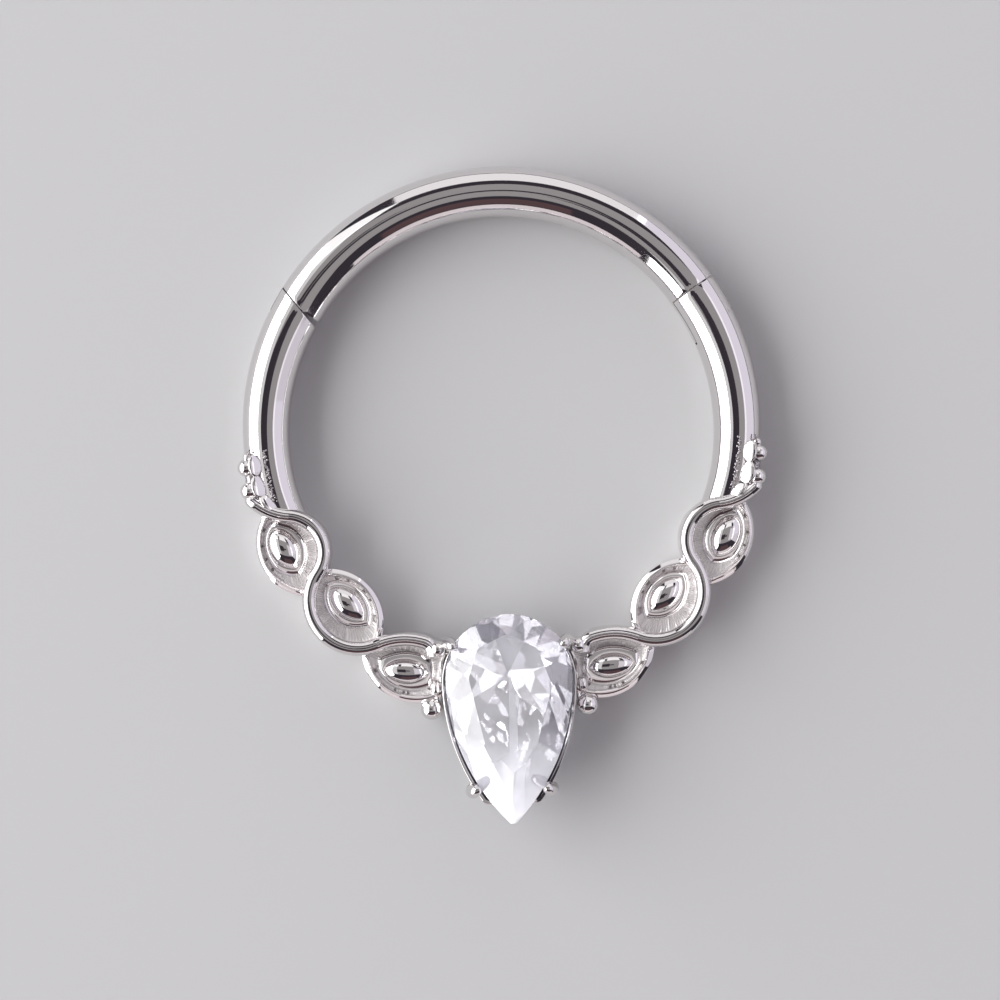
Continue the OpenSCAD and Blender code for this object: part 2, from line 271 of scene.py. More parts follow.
# How far both rails are moved towards the tip
RAIL_SHIFT = -0.12
RAIL_POINTS = 120
# Below this level the gallery rail gets the dark steel, which is painted shade under the stone's girdle
SHADE_PAINTED_BELOW = 1.2
# Prongs: place from the stone's middle, turn and radius
PRONGS = (((1.35, 0.81), 31, 0.15), ((0.88, -2.63), -32, 0.165))
# The line of a prong, from its foot to the claw bent over the girdle: distance out, height, part of
# the radius
PRONG_LINE = (
    (-0.5, 0.085, 1), (-0.42, 0.22, 1), (-0.2, 0.65, 1), (0.0, 1.05, 1), (0.06, 1.25, 1), (0.07, 1.45, 1),
    (0.06, 1.65, 1), (0.03, 1.78, 0.98), (-0.01, 1.87, 0.9), (-0.06, 1.94, 0.75), (-0.1, 1.985, 0.5),
    (-0.13, 2.005, 0.15),
)
# Balls and a drop beside the stone, the posts under the balls, and the web between them
STONE_BALLS = (((1.665, -5.28, 1.15), 0.2), ((1.86, -6.71, 0.92), 0.265))
DROP_AT = (1.76, -6.22, 0.95)
DROP_SIZE = (0.13, 0.21, 0.2)
POST_FOOT_Z = 0.01
POST_PARTS = (0.75, 0.85)
WEB = (((1.66, -5.3, 0.3), 0.16), ((1.7, -6.0, 0.45), 0.2), ((1.86, -6.7, 0.4), 0.2))

# The studio is a tent of panels: white on the left, lilac on the right, grey above round a dark hole for
# the lens, and an open, dark front with a warm card over a low white one. Each row has the middle and
# size in millimetres, the way the panel faces, its roll, colour and radiance.
LEFTWARDS, RIGHTWARDS, FORWARDS, BACKWARDS, DOWN = (-1, 0, 0), (1, 0, 0), (0, -1, 0), (0, 1, 0), (0, 0, -1)
PANELS = (
    ("panel_left", (-300, 15, 200), (630, 370), RIGHTWARDS, 0, "FFFFFF", 4.0),
    ("panel_left_wing", (-300, 434, 420), (250, 822), RIGHTWARDS, 28.9, "FFFFFF", 1.2),
    ("panel_left_upper", (-285, 60, 450), (200, 520), DOWN, 0, "FFFFFF", 0.72),
    ("panel_back", (50, 330, 158), (380, 285), FORWARDS, 0, "F8F6F7", 0.98),
    ("panel_right", (300, 201, 215), (487, 400), LEFTWARDS, 0, "EEEAF6", 0.95),
    ("panel_right_low", (300, -107, 215), (129, 400), LEFTWARDS, 0, "EFEAF4", 0.8),
    ("panel_front_low", (0, -330, 82), (600, 135), BACKWARDS, 0, "F8EEF0", 0.8),
    ("panel_front_warm", (40, -330, 300), (330, 250), BACKWARDS, 0, "9A6A62", 0.2),
    ("panel_above_back", (110, 142, 450), (260, 236), DOWN, 0, "F4F0EE", 0.34),
    ("panel_above_front", (110, -115, 450), (260, 190), DOWN, 0, "F4F0EE", 0.34),
    ("panel_above_back_left", (-100, 165, 450), (160, 190), DOWN, 0, "F4F0EE", 0.34),
    ("panel_above_front_left", (-100, -140, 450), (160, 140), DOWN, 0, "F4F0EE", 0.34),
    ("panel_above_middle", (150, 2, 450), (180, 44), DOWN, 0, "F4F0EE", 0.34),
    ("panel_above_right", (335, 15, 450), (190, 470), DOWN, 0, "F4F0EE", 0.34),
)
# Cards held close round the stone, which light it and not the metal
STONE_CARDS = (
    ("card_front", (0, -340, 440), (900, 600), BACKWARDS, 0, "FFFFFF", 1.6),
    ("card_over", (30, 5, 440), (440, 130), DOWN, 0, "FFFFFF", 1.35),
    ("card_back", (30, 310, 430), (500, 260), FORWARDS, 0, "FFFFFF", 1.1),
)
# Cards over the cups, which fill their hollows and light nothing else
CUP_CARDS = (
    ("card_cups_over", (-50, -60, 440), (360, 260), DOWN, 0, "F6F1F2", 0.4),
    ("card_cups_back", (0, 330, 450), (460, 330), DOWN, 0, "F4F2F2", 0.75),
    ("card_cups_front", (0, -235, 440), (520, 210), DOWN, 0, "F8F0F1", 0.7),
    ("card_cups_low", (0, -330, 250), (640, 330), BACKWARDS, 0, "F8EEF0", 0.85),
)
# Cards behind and to the right, which draw a window and a lilac field in the beads and balls
BEAD_CARDS = (
    ("card_beads_back", (45, 330, 450), (300, 330), DOWN, 0, "F4F2F2", 1.2),
    ("card_beads_right", (300, 0, 445), (300, 330), DOWN, 0, "EEEAF6", 0.5),
)
# What shows between the panels
ROOM_COLOUR = "38343B"

# The camera looks straight down, rolled a little so that the ring leans as photographed
CAMERA_ROLL = -1.7
LENS = 100
SENSOR = 36
PX_PER_MM = 41.75
PICTURE_PX = 1000
HOOP_AT_PX = (501.5, 425.5)


def at_angle(r, angle, z=WIRE_Z):
    a = math.radians(angle)
    return Vector((r * math.cos(a), r * math.sin(a), z))


def along(angle):
    """The direction of growing angles on the hoop."""
    return at_angle(1, angle + 90, 0)


def turned(angle, axis="Z"):
    return Matrix.Rotation(math.radians(angle), 4, axis)


def held(part):
    """A number held between 0 and 1."""
    return max(0, min(1, part))


def smoothed(values, reach):
    """The mean of each value and its neighbours round a ring."""
    count = len(values)
    return [
        sum(values[(k + j) % count] for j in range(-reach, reach + 1)) / (2 * reach + 1) for k in range(count)
    ]


def all_of(bm):
    return bm.verts[:] + bm.edges[:] + bm.faces[:]


def joined(*solids):
    """One mesh of several closed solids, each with its own faces outwards."""
    whole = bmesh.new()
    for solid in solids:
        bmesh.ops.recalc_face_normals(solid, faces=solid.faces)
        mesh = bpy.data.meshes.new("solid")
        solid.to_mesh(mesh)
        solid.free()
        whole.from_mesh(mesh)
        bpy.data.meshes.remove(mesh)
    return whole


def mirrored(bm):
    """The same solids on the left side of the ring."""
    other = bm.copy()
    bmesh.ops.scale(other, vec=(-1, 1, 1), verts=other.verts)
    return other


def both_sides(*solids):
    """One mesh of solids on the right side of the ring and their mirror image."""
    right_side = joined(*solids)
    return joined(mirrored(right_side), right_side)


def finished(bm, name, body, material, crease=CREASE):
    """Takes a mesh to metres in the row frame and puts it on its body."""
    place = Matrix.Scale(0.001, 4) @ Matrix.Translation((0, HOOP_Y, 0))
    bmesh.ops.transform(bm, matrix=place, verts=bm.verts)
    for face in bm.faces:
        face.smooth = True
    for edge in bm.edges:
        edge.smooth = len(edge.link_faces) == 2 and edge.calc_face_angle(0) < math.radians(crease)
    mesh = bpy.data.meshes.new(name)
    bm.to_mesh(mesh)
    bm.free()
    for one in material if isinstance(material, tuple) else (material,):
        mesh.materials.append(one)
    obj = bpy.data.objects.new(name, mesh)
    bpy.context.scene.collection.objects.link(obj)
    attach(obj, body)
    return obj


def cut(bm, at, normal, rounded=0):
    """Takes off what lies beyond a plane, closes the cut and rounds its edge."""
    found = bmesh.ops.bisect_plane(
        bm, geom=all_of(bm), dist=1e-5, plane_co=at, plane_no=normal, clear_outer=True
    )
    edges = [g for g in found["geom_cut"] if isinstance(g, bmesh.types.BMEdge)]
    bmesh.ops.holes_fill(bm, edges=edges, sides=0)
    if rounded:
        bmesh.ops.bevel(
            bm, geom=edges, offset=rounded, offset_type="OFFSET", segments=3, profile=0.5,
            affect="EDGES", clamp_overlap=True, material=-1,
        )
    return bm


def piece_of(solid, place, *cuts):
    """Cuts a solid by planes given in a place's own directions, as (point, normal)."""
    for at, normal in cuts:
        cut(solid, place @ Vector(at), place.to_3x3() @ Vector(normal))
    return solid


def disc(bm, r, segments):
    return bmesh.ops.create_circle(bm, cap_ends=True, radius=r, segments=segments)["verts"]


def extruded(bm, ring, capped=True):
    """Draws a ring of vertices out with its end face, or as an edge; gives the new ring in the same order."""
    numbers = {v.co.to_tuple(5): k for k, v in enumerate(ring)}
    inside = set(ring)
    edges = [e for e in bm.edges if inside.issuperset(e.verts)]
    if capped:
        faces = [f for f in bm.faces if inside.issuperset(f.verts)]
        grown = bmesh.ops.extrude_face_region(bm, geom=faces + edges)["geom"]
    else:
        grown = bmesh.ops.extrude_edge_only(bm, edges=edges)["geom"]
    new_ring = [g for g in grown if isinstance(g, bmesh.types.BMVert)]
    return sorted(new_ring, key=lambda v: numbers[v.co.to_tuple(5)])


def ball(at, r, stretch=(1, 1, 1), rows=20):
    bm = bmesh.new()
    bmesh.ops.create_uvsphere(bm, u_segments=2 * rows, v_segments=rows, radius=r)
    bmesh.ops.transform(bm, matrix=Matrix.Translation(at) @ Matrix.Diagonal((*stretch, 1)), verts=bm.verts)
    return bm


def lobe(at, size, lean):
    """A flat topped pebble of solder on a deep root, leaning in from a ball."""
    bm = bmesh.new()
    bmesh.ops.create_uvsphere(bm, u_segments=48, v_segments=24, radius=1)
    for v in bm.verts:
        v.co.z *= 1 if v.co.z > 0 else LOBE_ROOT
        v.co.xy *= 1 + LOBE_WAVE * math.sin(3 * math.atan2(v.co.y, v.co.x) + lean)
    place = Matrix.Translation(at) @ turned(lean) @ turned(LOBE_TILT, "Y") @ Matrix.Diagonal((*size, 1))
    bmesh.ops.transform(bm, matrix=place, verts=bm.verts)
    return bm


def rod(stations, segments=24):
    """A solid rod through stations of (place, radius); each ring faces along the rod."""
    bm = bmesh.new()
    ring, last = disc(bm, 1, segments), Matrix()
    for i, (at, r) in enumerate(stations):
        before = Vector(stations[max(i - 1, 0)][0])
        after = Vector(stations[min(i + 1, len(stations) - 1)][0])
        face_on = (after - before).to_track_quat("Z", "Y").to_matrix().to_4x4()
        place = Matrix.Translation(at) @ face_on @ Matrix.Scale(r, 4)
        if i:
            ring = extruded(bm, ring)
        bmesh.ops.transform(bm, matrix=place @ last.inverted(), verts=ring)
        last = place
    return bm


def wire(start, end):
    """Round wire between two angles, a little thinner towards the shoulders, with its outside kept."""
    bm = bmesh.new()
    disc(bm, WIRE_R, WIRE_POINTS)
    place = turned(start) @ Matrix.Translation((HOOP_R, 0, WIRE_Z)) @ turned(90, "X")
    bmesh.ops.transform(bm, matrix=place, verts=bm.verts)
    bmesh.ops.spin(
        bm, geom=all_of(bm), cent=(0, 0, 0), axis=(0, 0, 1), angle=math.radians(end - start),
        steps=max(1, round((end - start) / WIRE_STEP)), use_merge=False, use_duplicate=False,
    )
    for v in bm.verts:
        r, angle = v.co.xy.length, math.degrees(math.atan2(v.co.y, v.co.x))
        above = math.degrees(math.asin(v.co.y / r))
        thin = 1 - held((THIN_FROM - above) / THIN_OVER) * (1 - SHOULDER_WIRE_R / WIRE_R)
        v.co = at_angle(OUTSIDE_R - (OUTSIDE_R - r) * thin, angle, WIRE_Z + (v.co.z - WIRE_Z) * thin)
    return bm


def pin_place():
    return turned(PIN_ANGLE) @ Matrix.Translation((PIN_RING_R, 0, 0))


def clasp_place():
    return turned(CLASP_ANGLE) @ Matrix.Translation((HOOP_R, 0, 0))


def clasp_wire():
    return wire(CLASP_ANGLE - CLASP_SPARE, CLASP_ANGLE + CLASP_SPARE)


def foot_cut(shaft, side):
    """Cuts off the lower end of an arm; side is 1 on the right and -1 on the left."""
    x, y = ARM_CUT_AT
    lean = math.radians(side * ARM_CUT_LEAN)
    cut(shaft, (side * x, y, 0), (math.sin(lean), -math.cos(lean), 0), rounded=ARM_ROUND)


def hinge_arm():
    """Right arm: the wire, and the two ears of the hinge's fork."""
    pin = pin_place()
    seam = at_angle(HOOP_R, HINGE_ANGLE) - along(HINGE_ANGLE) * HALF_SEAM
    shaft = piece_of(wire(ARM_END, PIN_ANGLE), pin, ((0, -SLOT_DEPTH, 0), (0, 1, 0)))
    foot_cut(shaft, 1)
    ears = []
    for side in (1, -1):
        ear = piece_of(
            wire(PIN_ANGLE - EAR_SPARE, HINGE_ANGLE + SEAM_SPARE), pin,
            ((0, -SLOT_DEPTH, 0), (0, -1, 0)), ((0, 0, WIRE_Z + side * SLOT_HALF), (0, 0, -side)),
        )
        for turn in EAR_TURNS:
            away = along(HINGE_ANGLE - turn)
            cut(ear, pin @ Vector((0, 0, WIRE_Z)) + away * (PIN_REACH - EAR_PLAY), away)
        ears.append(cut(ear, seam, along(HINGE_ANGLE), rounded=SEAM_ROUND))
    return joined(shaft, *ears)


def clasp_arm():
    """Left arm: the wire, and the pocket of the clasp, open to the outside."""
    place = clasp_place()
    floor = CLASP_TONGUE[1] + CLASP_PLAY
    wall = CLASP_TONGUE[0] - CLASP_PLAY
    above, below = WIRE_Z + SLOT_HALF, WIRE_Z - SLOT_HALF
    across = along(CLASP_ANGLE + CLASP_LEAN)
    seam = at_angle(HOOP_R, CLASP_ANGLE) + across * HALF_SEAM
    shaft = piece_of(wire(CLASP_ANGLE, 180 - ARM_END), place, ((0, floor, 0), (0, -1, 0)))
    foot_cut(shaft, -1)
    near = ((0, floor, 0), (0, 1, 0))
    # the cuts that leave the cheek over the pocket, the one under it, and the wall between them
    parts = (
        (((0, 0, above), (0, 0, -1)),),
        (((0, 0, below), (0, 0, 1)),),
        (((0, 0, above), (0, 0, 1)), ((0, 0, below), (0, 0, -1)), ((wall, 0, 0), (1, 0, 0))),
    )
    walls = [
        cut(piece_of(clasp_wire(), place, near, *cuts), seam, -across, rounded=POCKET_ROUND) for cuts in parts
    ]
    return joined(shaft, *walls)


def opening_segment():
    """The hinged length of wire, with the hinge's tongue and round lug and the clasp's latch."""
    pin = pin_place()
    hinge = at_angle(HOOP_R, HINGE_ANGLE) + along(HINGE_ANGLE) * HALF_SEAM
    clasp = at_angle(HOOP_R, CLASP_ANGLE)
    across = along(CLASP_ANGLE + CLASP_LEAN)
    main = wire(HINGE_ANGLE - SEAM_SPARE, CLASP_ANGLE + CLASP_SPARE)
    cut(main, hinge, -along(HINGE_ANGLE), rounded=SEAM_ROUND)
    cut(main, clasp - across * HALF_SEAM, across, rounded=SEAM_ROUND)
    cut(main, clasp + along(CLASP_ANGLE) * NICK_Y, along(CLASP_ANGLE), rounded=NICK_ROUND)
    flat = (((0, 0, WIRE_Z + TONGUE_HALF), (0, 0, 1)), ((0, 0, WIRE_Z - TONGUE_HALF), (0, 0, -1)))
    tongues = [
        piece_of(wire(PIN_ANGLE - TONGUE_SPARE, HINGE_ANGLE + SEAM_SPARE), pin, *flat, *sides)
        for sides in (
            (((0, 0, 0), (1, 0, 0)), ((0, -TONGUE_DROP, 0), (0, -1, 0))),
            (((OUTER_TONGUE_X, 0, 0), (-1, 0, 0)), ((0, 0, 0), (0, -1, 0))),
        )
    ]
    for tongue in tongues:
        cut(tongue, hinge + along(HINGE_ANGLE) * TONGUE_ROOT, along(HINGE_ANGLE))
    x0, y1 = CLASP_TONGUE
    latch = piece_of(clasp_wire(), clasp_place(), *flat, ((x0, 0, 0), (-1, 0, 0)), ((0, y1, 0), (0, 1, 0)))
    cut(latch, clasp - across * (HALF_SEAM + TONGUE_ROOT), -across)
    lug = bmesh.new()
    bmesh.ops.create_cone(
        lug, cap_ends=True, radius1=LUG_R, radius2=LUG_R, depth=2 * TONGUE_HALF, segments=LUG_POINTS
    )
    bmesh.ops.transform(lug, matrix=pin @ Matrix.Translation((0, 0, WIRE_Z)), verts=lug.verts)
    return joined(main, *tongues, lug, latch)


def ribbon_bends(extra=()):
    """Each bend's middle, radius, turn, start and heading."""
    at, heading = Vector((*RIBBON_START, 0)), RIBBON_HEADING
    rows = []
    for r, turn in (*BENDS, *extra):
        side = 1 if turn > 0 else -1
        middle = at + side * r * along(heading)
        rows.append((middle, r, turn, at.copy(), heading))
        at = middle + turned(turn).to_3x3() @ (at - middle)
        heading += turn
    return rows


def ribbon_strand(z, shape, extra=(), first=0, last=None):
    """A closed strand that follows the bends; shape puts the flat ring's points into its section."""
    rows = ribbon_bends(extra)[first:last]
    start, heading = rows[0][3], rows[0][4]
    bm = bmesh.new()
    for v in disc(bm, 1, RIBBON_POINTS):
        v.co = shape(v.co.x, v.co.y)
    place = Matrix.Translation(start + Vector((0, 0, z))) @ turned(heading - 90)
    bmesh.ops.transform(bm, matrix=place @ turned(90, "X"), verts=bm.verts)
    end = all_of(bm)
    for middle, r, turn, _, _ in rows:
        end = bmesh.ops.spin(
            bm, geom=end, cent=middle, axis=(0, 0, 1), angle=math.radians(turn),
            steps=max(3, round(abs(turn) / RIBBON_STEP)), use_merge=False, use_duplicate=False,
        )["geom_last"]
    return bm


def ribbon():
    """A wall with a round crest, and a fine strand laid on it where it crosses from cup to cup."""
    def crest(x, y):
        return Vector((x * RIBBON_R, y * RIBBON_R, 0))

    def wall(x, y):
        return Vector((x * WALL_HALF, y * WALL_TOP if y > 0 else -RIBBON_Z, 0))

    def short_wall(x, y):
        return Vector((x * WALL_HALF, y * WALL_TOP if y > 0 else -SHORT_WALL, 0))

    def fine(x, y):
        return Vector((x * FINE_R, y * FINE_R, 0))

    return joined(
        ribbon_strand(RIBBON_Z, crest, (RIBBON_CURL,)),
        ribbon_strand(RIBBON_Z, wall, first=1),
        ribbon_strand(RIBBON_Z, short_wall),
        ribbon_strand(FINE_Z, fine, last=1),
        ribbon_strand(FINE_Z, fine, (RIBBON_CURL,), first=3),
    )


def almond_r(length, width):
    """Radius of the two arcs that make an almond."""
    return (length**2 + width**2) / (4 * width)


def almond_reach(turn, length, width):
    """Distance from the middle of an almond to its edge, along a direction in radians."""
    r = almond_r(length, width)
    s, off = abs(math.sin(turn)), r - width / 2
    return -off * s + math.sqrt(r**2 - off**2 * (1 - s * s))


def bead_reach(i, turn):
    """Distance from the middle of a bead to its outline, along a direction from its long axis in radians."""
    _, _, length, width, _ = CUPS[i]
    pointed = almond_reach(turn, length, width)
    egg = 1 / math.hypot(2 * math.cos(turn) / length, 2 * math.sin(turn) / width)
    return pointed + (egg - pointed) * (BEAD_BLUNT[i] if math.cos(turn) > 0 else INNER_BLUNT)


def under_stone(p):
    """True within the stone's outline less a margin."""
    x, y = abs(p[0]), p[1] - STONE_Y
    if y > 0:
        return math.hypot(x, y) < STONE_R - STONE_MARGIN
    return math.hypot(x + SIDE_R - STONE_R, y) < SIDE_R - STONE_MARGIN


def ray_reach(start, ray, middle, r, entering=False):
    """How far a ray runs until it leaves a circle, or enters it; None if it misses."""
    to_middle = Vector(middle) - start
    to_middle.z = 0
    ahead = ray.dot(to_middle)
    under_root = r * r - to_middle.length_squared + ahead * ahead
    if under_root < 0 or (entering and ahead < 0):
        return None
    return ahead - math.sqrt(under_root) if entering else ahead + math.sqrt(under_root)


def ribbon_reach(i, start, ray):
    """How far a ray from a bead runs until it meets the ribbon; far if it runs past the ribbon's ends."""
    rows = ribbon_bends((RIBBON_CURL,))
    middle, r, turn, first, _ = rows[i + 1]
    reach = ray_reach(start, ray, middle, r + UNDER_RIBBON)
    spoke, hit = first - middle, start + ray * reach - middle
    swept = math.degrees(math.atan2(spoke.cross(hit).z, spoke.dot(hit))) * (1 if turn > 0 else -1) % 360
    if swept <= abs(turn):
        return reach
    # past this bend's ends the ray may meet the bend before it or after it, from outside
    other_middle, other_r, other_turn = rows[i + 2 if swept < 180 + abs(turn) / 2 else i][:3]
    if other_turn * turn > 0:
        return reach
    return ray_reach(start, ray, other_middle, other_r - UNDER_RIBBON, entering=True) or FAR


def cup_rays(i, ring):
    """For each point of a cup's ring: direction, the cup's reach and the bead's; and how open the rim is."""
    at, lean, _, _, rim_at = CUPS[i]
    centre = Vector((*at, 0))
    rays, opens = [], []
    for v in ring:
        turn = math.atan2(v.co.y, v.co.x)
        ray = Vector((math.cos(turn), math.sin(turn), 0))
        to_rim = ray_reach(centre, ray, (*rim_at, 0), CUP_RIM_R)
        to_ribbon = ribbon_reach(i, centre, ray)
        opens.append(held(0.5 + (to_ribbon - to_rim) / OPEN_FADE))
        reach = (to_rim + to_ribbon - math.hypot(to_rim - to_ribbon, CORNER)) / 2
        while under_stone(centre + ray * reach):
            reach -= DRAW_BACK
        rays.append((ray, reach, bead_reach(i, turn - math.radians(lean))))
    return rays, smoothed(opens, OPEN_BLEND)


def cup(i):
    """A cup's wall, rim, ticked channel and collar, as rings that shrink to the bead."""
    bm = bmesh.new()
    ring = disc(bm, 1, CUP_POINTS)
    rng = random.Random(i)
    pits = [rng.random() < PIT_CHANCE for _ in range(CUP_POINTS // PIT_POINTS)]
    ticks = [rng.uniform(TICK_LEAST, 1) for _ in range(CUP_POINTS // TICK_POINTS)]
    rays, opens = cup_rays(i, ring)
    centre = Vector((*CUPS[i][0], 0))
    zones = {}
    for step, (zone, share, z_open, z_ribbon) in enumerate(CUP_STEPS):
        if step:
            ring = extruded(bm, ring)
        for k, v in enumerate(ring):
            ray, reach, inner = rays[k]
            way = reach - inner
            rim_w, collar_w = min(RIM_W, RIM_PART * way), min(COLLAR_W[i], COLLAR_PART * way)
            start, width = ((0, rim_w), (rim_w, way - rim_w - collar_w), (way - collar_w, collar_w))[zone]
            v.co = centre + ray * (reach - start - share * width)
            v.co.z = z_ribbon + (z_open - z_ribbon) * opens[k]
            zones[v] = zone
            if zone == CHANNEL:
                ticked = k % TICK_POINTS >= TICK_POINTS // 2
                pitted = pits[k // PIT_POINTS] and opens[k] > PIT_OPEN and share < PIT_SHARE
                v.co.z -= TICK_DEPTH * ticks[k // TICK_POINTS] * ticked * (1 - TICK_FADE * opens[k])
                v.co.z -= PIT_DEPTH * pitted
    for face in bm.faces:
        face.material_index = int(any(zones[v] == CHANNEL for v in face.verts))
    return bm


def bead(i):
    """Pointed bead: a ball drawn out to two points, the outer one blunter, and flattened."""
    at, lean, length, width, _ = CUPS[i]
    bm = bmesh.new()
    bmesh.ops.create_uvsphere(bm, u_segments=40, v_segments=32, radius=1)
    arc_r = almond_r(length, width)
    for v in bm.verts:
        x = v.co.z * length / 2
        pointed = math.sqrt(max(0, arc_r**2 - x * x)) - (arc_r - width / 2)
        egg = width / 2 * math.sqrt(max(0, 1 - (2 * x / length) ** 2))
        r = pointed + (egg - pointed) * (BEAD_BLUNT[i] if x > 0 else INNER_BLUNT)
        away = v.co.xy.normalized() if v.co.xy.length > 1e-6 else Vector((0, 0))
        v.co = Vector((x, away.x * r, away.y * r * BEAD_FLAT[i]))
    bmesh.ops.transform(bm, matrix=Matrix.Translation((*at, BEAD_Z)) @ turned(lean), verts=bm.verts)
    return bm


def pear_point(share, grow):
    """A point of the outline, grown by a margin; share runs once round from the right side's middle."""
    side_x = SIDE_R - STONE_R
    r = SIDE_R + grow
    sweep = math.acos(side_x / r)
    if share < ROUND_SHARE:
        turn = math.pi * share / ROUND_SHARE
        return Vector(((STONE_R + grow) * math.cos(turn), (STONE_R + grow) * math.sin(turn), 0))
    if share < ROUND_SHARE + FLANK_SHARE:
        turn = math.pi + sweep * (share - ROUND_SHARE) / FLANK_SHARE
        return Vector((side_x + r * math.cos(turn), r * math.sin(turn), 0))
    turn = -sweep * (1 - share) / FLANK_SHARE
    return Vector((-side_x + r * math.cos(turn), r * math.sin(turn), 0))


def facet(turn, low_at, high_at):
    """A point on a facet and its outward normal, from two levels as (height, the outline's part there)."""
    way = at_angle(1, turn, 0)
    reach = max(pear_point(k / STONE_POINTS, 0).dot(way) for k in range(STONE_POINTS))
    low, high = (way * reach * part + Vector((0, 0, z)) for z, part in (low_at, high_at))
    slope = high - low
    normal = Vector((-slope.z * way.x, -slope.z * way.y, slope.x * way.x + slope.y * way.y))
    return low, -normal if normal.dot(way) < 0 else normal


def pear_stone():
    """Pear brilliant cut: a prism with its rings of facets cut off, each a little off true."""
    rng = random.Random(STONE_SEED)
    bm = bmesh.new()
    ring = disc(bm, 1, STONE_POINTS)
    for k, v in enumerate(ring):
        v.co = pear_point(k / STONE_POINTS, 0)
    top = extruded(bm, ring)
    bmesh.ops.translate(bm, vec=(0, 0, PAVILION_H + GIRDLE_T + CROWN_H), verts=top)
    for rings, side, level in ((CROWN, 1, PAVILION_H + GIRDLE_T), (PAVILION, -1, PAVILION_H)):
        for turns, (z0, z1), (s0, s1) in rings:
            for turn in turns:
                turn += rng.uniform(-TURN_ERROR, TURN_ERROR)
                at, normal = facet(turn, (side * z0, s0), (side * z1, s1 + rng.uniform(0, SLOPE_ERROR)))
                cut(bm, at + Vector((0, 0, level)), normal)
    cut(bm, (0, TIP_CUT - TIP_L, 0), (0, -1, 0))
    bmesh.ops.translate(bm, vec=(0, STONE_Y, GIRDLE_Z - PAVILION_H), verts=bm.verts)
    return joined(bm)


def pear_band(section, end_y):
    """A closed band round the stone; at end_y it runs straight across, as wide there as at the sides."""
    bm = bmesh.new()
    ring = bmesh.ops.create_circle(bm, cap_ends=False, radius=1, segments=RAIL_POINTS)["verts"]
    outside = section[0][0]
    for step, (grow, z) in enumerate((*section, section[0])):
        if step:
            ring = extruded(bm, ring, capped=False)
        for k, v in enumerate(ring):
            v.co = pear_point(k / RAIL_POINTS, grow) + Vector((0, STONE_Y + RAIL_SHIFT, z))
            v.co.y = max(v.co.y, end_y + outside - grow)
    bmesh.ops.remove_doubles(bm, verts=bm.verts, dist=1e-4)
    return bm


def prong(at, turn, r):
    """One prong: foot, leaning post, straight end, and the claw bent over the girdle."""
    place = Matrix.Translation((at[0], at[1] + STONE_Y, 0)) @ turned(turn)
    return rod([(place @ Vector((out, 0, z)), part * r) for out, z, part in PRONG_LINE])


def basket():
    """Gallery rail, foot rail and four prongs."""
    rail = pear_band(RAIL_SECTION, RAIL_END_Y)
    # faces low on the rail, under the stone, get the dark steel: painted shade
    for face in rail.faces:
        face.material_index = int(max(v.co.z for v in face.verts) < SHADE_PAINTED_BELOW)
    prongs = [prong(*row) for row in PRONGS]
    return joined(
        rail, pear_band(FOOT_SECTION, FOOT_END_Y), *(solid for p in prongs for solid in (mirrored(p), p))
    )


def stone_side():
    """The balls and the drop beside the stone, with the web and posts that carry them."""
    foot_part, top_part = POST_PARTS
    posts = [
        rod([((x, y, POST_FOOT_Z), foot_part * r), ((x, y, z), top_part * r)]) for (x, y, z), r in STONE_BALLS
    ]
    return [rod(WEB), *posts, *(ball(at, r) for at, r in STONE_BALLS), ball(DROP_AT, 1, DROP_SIZE)]


def second_finish(bm):
    """Gives a solid its piece's second finish."""
    for face in bm.faces:
        face.material_index = 1
    return bm


def shoulder():
    """Balls on the outside of the wire, flat lobes inside them, and the bubbled solder round them."""
    rng = random.Random(SHOULDER_SEED)
    neck = second_finish(rod(NECK))
    for v in neck.verts:
        v.co += Vector((rng.uniform(-1, 1), rng.uniform(-1, 1), rng.uniform(-1, 1))) * NECK_ROUGH
    grains = []
    for x, z, count, spread in GRAIN_ROWS:
        for k in range(count):
            y = GRAIN_START_Y - GRAIN_ROW_L * k / count
            bow = GRAIN_BOW * (y - GRAIN_BOW_Y) ** 2
            place = (x + rng.uniform(-spread, spread) - bow, y, z + rng.uniform(-GRAIN_RISE, GRAIN_RISE))
            grains.append(second_finish(ball(place, rng.uniform(*GRAIN_R), rows=6)))
    ribbon_end = ball((*RIBBON_START, RIBBON_Z - END_DROP), RIBBON_R + END_SWELL)
    balls = [ball(at, r) for at, r in SHOULDER_BALLS]
    return [neck, *balls, *(lobe(*row) for row in SHOULDER_LOBES), *grains, ribbon_end]


def linear(colour):
    """sRGB hex to linear."""
    parts = [int(colour[i : i + 2], 16) / 255 for i in (0, 2, 4)]
    return (*(c / 12.92 if c < 0.04045 else ((c + 0.055) / 1.055) ** 2.4 for c in parts), 1)


def node(tree, kind, settings=(), links=()):
    """One node with its settings and what feeds it."""
    made = tree.nodes.new(kind)
    for name, value in dict(settings).items():
        if name in made.inputs:
            made.inputs[name].default_value = value
        else:
            setattr(made, name, value)
    for name, source in dict(links).items():
        tree.links.new(source, made.inputs[name])
    return made


def new_material(name):
    material = bpy.data.materials.new(name)
    material.use_nodes = True
    tree = material.node_tree
    tree.nodes.clear()
    return material, tree


